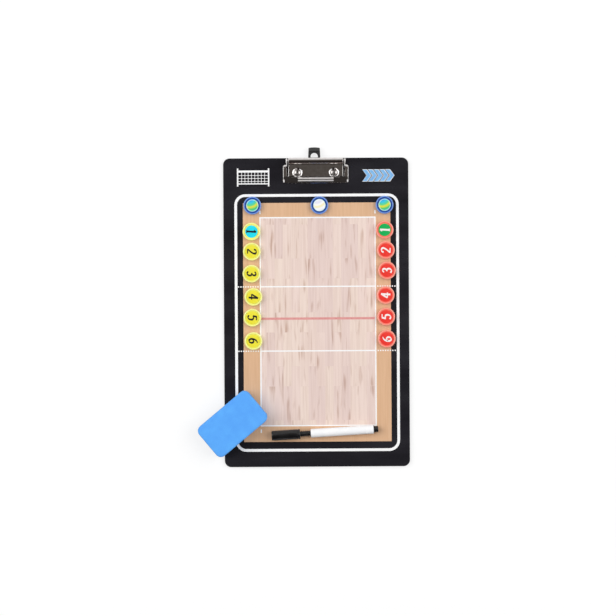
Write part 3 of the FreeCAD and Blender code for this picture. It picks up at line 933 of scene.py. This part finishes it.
def make_teams():
    yellow_rim = rubbed_rim("yellow_rim", srgb(247, 247, 126), srgb(252, 252, 164))
    yellow_label = gloss("yellow_label", srgb(244, 234, 70), srgb(238, 226, 54))
    cyan_label = gloss("cyan_label", srgb(36, 228, 246), srgb(28, 218, 240))
    number_black = ink("number_black", srgb(24, 24, 26), srgb(18, 18, 20))
    make_team("left", yellow_rim, yellow_label, cyan_label, number_black)
    red_rim = rubbed_rim("red_rim", srgb(254, 134, 116), srgb(255, 166, 148))
    red_label = gloss("red_label", srgb(244, 66, 56), srgb(236, 54, 46))
    green_label = gloss("green_label", srgb(26, 184, 92), srgb(20, 172, 84))
    number_white = ink("number_white", srgb(252, 244, 242), srgb(246, 236, 232))
    make_team("right", red_rim, red_label, green_label, number_white)


def make_top_row():
    blue_rim = rubbed_rim("blue_rim", srgb(30, 80, 168), srgb(122, 160, 232))
    bright = ball_print("bright_ball_print", [
        (0.0, srgb(40, 120, 220)), (0.25, srgb(60, 200, 235)), (0.45, srgb(90, 215, 150)),
        (0.6, srgb(225, 225, 60)), (0.78, srgb(80, 205, 120)), (1.0, srgb(50, 190, 230))])
    pale = ball_print("pale_ball_print", [
        (0.0, srgb(250, 250, 252)), (0.3, srgb(232, 232, 246)), (0.45, srgb(252, 252, 252)),
        (0.6, srgb(250, 240, 190)), (0.75, srgb(250, 250, 252)), (1.0, srgb(226, 226, 246))])
    for side, label in (("left", bright), ("centre", pale), ("right", bright)):
        make_cap("top_magnet_" + side, blue_rim, label, ball_label_radius)


# Rivets

def make_rivets(plating):
    """Rolled rivet ends in the dimples, and the flat heads in the back sheet."""
    low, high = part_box("clip_rivets")
    middle_y = (low.y + high.y) / 2
    top = node_height("clip_rivets")
    roll_start = top - rivet_roll_thickness
    profile = rounded([
        (0.0, 0.0, 0.0), (rivet_head_radius, 0.0, rivet_head_round),
        (rivet_head_radius, rivet_head_thickness, 0.0), (rivet_shank_radius, rivet_head_thickness, 0.0),
        (rivet_shank_radius, roll_start, 0.0), (rivet_roll_radius, roll_start, rivet_under_round),
        (rivet_roll_radius, top, rivet_roll_round), (rivet_hole_radius, top, rivet_roll_round),
        (rivet_hole_radius, rivet_hole_floor, 0.0), (0.0, rivet_hole_floor, 0.0),
    ])
    for side, x in (("left", low.x + rivet_head_radius * mm), ("right", high.x - rivet_head_radius * mm)):
        place = Matrix.Translation((x, middle_y, low.z))
        rivet = lathe(f"{side}_rivet", profile, [plating], "board", place, segments=48)
        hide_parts("clip_rivets")


# Springs

def spring_path(hinge, coil_end, tang_end):
    """Middle line of the right spring: leg in the tube's seam, coil, and tang through the jaw's ear."""
    steps = round(spring_turns * spring_steps_per_turn)
    coil = []
    for step in range(steps + 1):
        turns_left = spring_turns * (steps - step) / steps
        angle = math.pi - 2 * math.pi * turns_left
        round_pin = Vector((0.0, math.cos(angle), math.sin(angle))) * spring_coil_radius
        coil.append(hinge + Vector((coil_end - turns_left * spring_pitch, 0.0, 0.0)) + round_pin)
    leg_end = coil[0] - Vector((0.0, spring_leg, 0.0))
    bend_start = coil[-1] - Vector((0.0, 0.0, spring_tang_reach))
    bend_end = bend_start + Vector((spring_tang_bend, 0.0, -spring_tang_bend))
    tang = smooth_line([coil[-1], bend_start, bend_end, Vector((tang_end, bend_end.y, bend_end.z))])
    return [leg_end] + coil[:-1] + tang


def make_springs():
    """Two springs on the hinge pin, with legs on the board and tangs on the jaw."""
    wire = steel("spring_wire", srgb(150, 146, 142), srgb(110, 106, 102), 0.3)
    joint = next(joint for joint in frame["joints"] if joint["name"] == "clip_jaw")
    hinge = Vector(joint["pos_m"]) / mm
    coil_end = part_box("clip_base")[1].x / mm + spring_clearance + spring_wire_radius
    tang_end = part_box("clip_springs")[1].x / mm
    path = spring_path(hinge, coil_end, tang_end)
    for name, side in (("left_spring", -1), ("right_spring", 1)):
        mesh = bmesh.new()
        add_wire(mesh, [Vector((side * point.x, point.y, point.z)) for point in path], spring_wire_radius)
        spring = finish_piece(name, mesh, [wire], None)
        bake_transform(spring)
        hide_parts("clip_springs")


# Marker pen

def node_points(node):
    """The node's corner points, each once."""
    corners = {tuple(round(c, 7) for c in vertex.co) for vertex in frame["nodes"][node].data.vertices}
    return [Vector(corner) for corner in corners]


def mean(points):
    return sum(points, Vector()) / len(points)


def pen_axis():
    """Placement with +Z along the pen from the cap to the plug, at the barrel's middle."""
    points = node_points("marker_barrel")
    middle = mean(points)
    far = mean([point for point in points if point.x > middle.x])
    near = mean([point for point in points if point.x < middle.x])
    turn = (far - near).to_track_quat("Z", "Y")
    return Matrix.Translation((far + near) / 2) @ turn.to_matrix().to_4x4()


def along_pen(node, axis):
    """Where a pen node starts and ends along the axis, and its radius."""
    local = [axis.inverted() @ point for point in node_points(node)]
    heights = [point.z / mm for point in local]
    return min(heights), max(heights), max(point.xy.length for point in local) / mm


def pen_cap_corners(start, end, radius):
    """Closed cap with a dished end, a groove near its mouth and a bore."""
    bore = radius - pen_cap_wall
    dish_radius = radius - pen_dish_rim
    dish_floor = start + pen_dish_depth
    bore_end = start + pen_cap_end
    groove_start, groove_end = [end - edge for edge in pen_groove_edges]
    groove_radius = radius - pen_groove_depth
    return [
        (0.0, dish_floor, 0.0), (dish_radius - pen_dish_slope, dish_floor, pen_fine_round),
        (dish_radius, start, pen_fine_round), (radius - pen_cap_taper, start, pen_cap_end_round),
        (radius - pen_groove_lip, groove_start, 0.0), (groove_radius, groove_start + pen_groove_slope, 0.0),
        (groove_radius, groove_end - pen_groove_slope, 0.0), (radius, groove_end, 0.0),
        (radius, end, pen_mouth_round), (bore, end, pen_fine_round),
        (bore, bore_end, pen_end_round), (0.0, bore_end, 0.0),
    ]


def pen_section_corners(start, cap_end, barrel_start):
    """Nose, cap seat, ribbed grip and the insert that goes into the barrel, round the nib's bore."""
    seat_start = cap_end - pen_seat_length
    insert_end = barrel_start + pen_insert_length
    pitch = (barrel_start - cap_end) / pen_rib_count
    valley = pen_rib_radius - pen_rib_depth
    corners = [
        (pen_nib_bore, start, 0.0), (pen_nose_radius, start, pen_nose_round),
        (pen_nose_radius, seat_start, 0.0), (pen_seat_radius, seat_start, pen_nose_round),
        (pen_seat_radius, cap_end, 0.0),
    ]
    for rib in range(pen_rib_count):
        foot = cap_end + rib * pitch
        rise, full, fall = [foot + share * pitch for share in pen_rib_shares]
        corners += [(valley, foot, 0.0), (valley, rise, 0.0),
                    (pen_rib_radius, full, pen_rib_round), (pen_rib_radius, fall, pen_rib_round)]
    corners += [(pen_insert_radius, barrel_start, 0.0), (pen_insert_radius, insert_end, pen_edge_round),
                (pen_nib_bore, insert_end, 0.0)]
    return corners + corners[:1]


def pen_barrel_corners(start, end, radius):
    """Plain tube."""
    bore = radius - pen_barrel_wall
    corners = [(bore, start, 0.0), (radius, start, pen_edge_round),
               (radius, end, pen_edge_round), (bore, end, 0.0)]
    return corners + corners[:1]


def pen_plug_corners(start, end, collar_radius, barrel_end):
    """Insert in the barrel, collar against its end, and a narrower button."""
    collar_end = barrel_end + pen_plug_collar
    return [
        (0.0, start, 0.0), (pen_insert_radius, start, pen_nose_round), (pen_insert_radius, barrel_end, 0.0),
        (collar_radius, barrel_end, 0.0), (collar_radius, collar_end, pen_edge_round),
        (pen_plug_radius, collar_end, pen_fine_round), (pen_plug_radius, end, pen_end_round),
        (0.0, end, 0.0),
    ]


def make_pen_piece(node, corners, material, body, axis):
    profile = rounded(corners, pen_round_steps)
    piece = lathe(node + "_turned", profile, [material], body, axis)
    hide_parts(node)


def make_marker():
    dark = moulded("marker_black_plastic", srgb(25, 24, 25), srgb(19, 18, 19), 0.2, 0.28)
    pale = moulded("marker_white_plastic", srgb(254, 254, 255), srgb(249, 250, 252), 0.22, 0.3)
    axis = pen_axis()
    cap_start, cap_end, cap_radius = along_pen("marker_cap", axis)
    barrel_start, barrel_end, barrel_radius = along_pen("marker_barrel", axis)
    section_start = along_pen("marker_section", axis)[0]
    plug_start, plug_end, collar_radius = along_pen("marker_end_plug", axis)
    cap = pen_cap_corners(cap_start, cap_end, cap_radius)
    section = pen_section_corners(section_start, cap_end, barrel_start)
    barrel = pen_barrel_corners(barrel_start, barrel_end, barrel_radius)
    plug = pen_plug_corners(plug_start, plug_end, collar_radius, barrel_end)
    make_pen_piece("marker_cap", cap, dark, "marker_cap", axis)
    make_pen_piece("marker_section", section, dark, "marker_pen", axis)
    make_pen_piece("marker_barrel", barrel, pale, "marker_pen", axis)
    make_pen_piece("marker_end_plug", plug, dark, "marker_pen", axis)


# Eraser

def foam_layers(height):
    """Foot, slightly hollow sides, round shoulder and low crown of the foam block."""
    sides = [(foam_waist_inset, share * height) for share in foam_waist_shares]
    radius = foam_shoulder_round
    centre = height - radius - foam_shoulder_drop
    turns = [math.pi / 2 * step / foam_shoulder_steps for step in range(foam_shoulder_steps + 1)]
    shoulder = [(radius * (1 - math.cos(turn)), centre + radius * math.sin(turn)) for turn in turns]
    crown = [(inset, height - drop) for inset, drop in foam_crown]
    return [*foam_foot, *sides, *shoulder, *crown]


def felt_layers(height):
    """Foot, sides and drawn-in top of the felt pad."""
    return [*felt_foot, (felt_waist_inset, felt_waist_share * height), (felt_top_inset, height)]


def make_soft_part(name, node, margin, corner, layers, unevenness, material):
    """Soft block of stacked outlines, each an (inset, height) pair, with a slightly uneven skin."""
    mesh = bmesh.new()
    rings = []
    for inset, height in layers:
        x = eraser_length / 2 - margin - inset
        y = eraser_width / 2 - margin - inset
        outline = rectangle(-x, -y, x, y, max(corner - inset, soft_least_corner), soft_corner_steps)
        rings.append(add_ring(mesh, outline, height))
    add_closed_bands(mesh, rings)
    bottom, top = layers[0][1], layers[-1][1]
    for vertex in mesh.verts:
        if bottom < vertex.co.z < top:
            ripple = 1 + noise.noise(vertex.co * soft_ripple_per_mm)
            vertex.co -= vertex.co.normalized() * unevenness * ripple
    turn = Matrix.Rotation(math.radians(eraser_yaw_degrees), 4, "Z")
    place = Matrix.Translation(node_middle(node)) @ turn
    piece = finish_piece(name, mesh, [material], "eraser", place, soft_sharp_degrees)
    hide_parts(node)


def make_eraser():
    block = foam_layers(node_height("eraser_body"))
    pad = felt_layers(node_height("eraser_felt"))
    felt = fibres("pad_felt", srgb(214, 214, 212), srgb(178, 178, 178), 0.25)
    make_soft_part("eraser_foam", "eraser_body", 0.0, foam_corner, block, foam_unevenness, foam())
    make_soft_part("eraser_pad", "eraser_felt", felt_margin, felt_corner, pad, felt_unevenness, felt)


# Studio

def make_floor():
    level = cad_box[0].z - table_gap * mm
    bpy.ops.mesh.primitive_plane_add(size=table_size * mm, location=(0, 0, level))
    floor = bpy.context.object
    floor.name = "table"
    floor.data.materials.append(table_top())


def make_world():
    """Even ambient light and a white backdrop; mirrors see a dim room with bright walls."""
    world = bpy.data.worlds.new("studio")
    bpy.context.scene.world = world
    world.use_nodes = True
    tree = Nodes(world.node_tree)
    generated = tree.node("TexCoord", {}).outputs["Generated"]
    direction = tree.node("SeparateXYZ", {"Vector": generated}).outputs
    room = tree.ramp(direction["Z"], [
        (0.0, srgb(176, 170, 168)), (0.12, srgb(104, 88, 86)), (0.4, srgb(92, 74, 74)),
        (0.95, srgb(84, 79, 75))])
    rearward = tree.span(direction["Y"], 0.0, 1.0, -1.0, 1.0)
    front = tree.ramp(rearward, [(0.0, srgb(110, 110, 114)), (0.34, srgb(140, 140, 146)), (0.46, white)])
    dim = tree.blend(1.0, room, front, "MULTIPLY")
    sides = tree.ramp(tree.math("ABSOLUTE", direction["X"]), [(0.45, black), (0.7, white)])
    rear = tree.ramp(direction["Y"], [(0.5, black), (0.6, srgb(228, 225, 224))])
    walls = tree.blend(1.0, sides, rear, "LIGHTEN")
    mirrored = tree.blend(1.0, dim, walls, "LIGHTEN")
    ambient = (ambient_level, ambient_level, ambient_level, 1.0)
    lit = tree.blend(tree.seen_rays(), ambient, mirrored)
    straight = tree.node("LightPath", {}).outputs["Is Camera Ray"]
    tree.feed(tree.nodes["Background"].inputs["Color"], tree.blend(straight, lit, white))


def make_lamps():
    """Round lamps that face the board's middle."""
    for name, (place, power) in lamps.items():
        data = bpy.data.lights.new(name, "AREA")
        data.shape = "DISK"
        data.size = lamp_size * mm
        data.energy = power
        lamp = bpy.data.objects.new(name, data)
        lamp.location = Vector(place) * mm
        lamp.rotation_euler = (-Vector(place)).to_track_quat("-Z", "Y").to_euler()
        bpy.context.scene.collection.objects.link(lamp)


def make_camera():
    """Straight down over the board, at the photograph's scale on the front sheet."""
    data = bpy.data.cameras.new("camera")
    board_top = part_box("front_sheet")[1].z / mm
    view_width = image_pixels / pixels_per_mm
    data.sensor_width = camera_sensor
    data.lens = camera_sensor * camera_height / view_width
    data.clip_end = camera_reach * mm
    camera = bpy.data.objects.new("camera", data)
    camera.location = (view_centre[0] * mm, view_centre[1] * mm, (board_top + camera_height) * mm)
    camera.rotation_euler = (0.0, 0.0, math.radians(view_roll_degrees))
    bpy.context.scene.collection.objects.link(camera)
    bpy.context.scene.camera = camera


plating = chrome()
dress_nodes(plating)
make_print()
make_teams()
make_top_row()
make_rivets(plating)
make_springs()
make_marker()
make_eraser()
make_floor()
make_world()
make_lamps()
make_camera()
bpy.context.scene.view_settings.view_transform = "Standard"
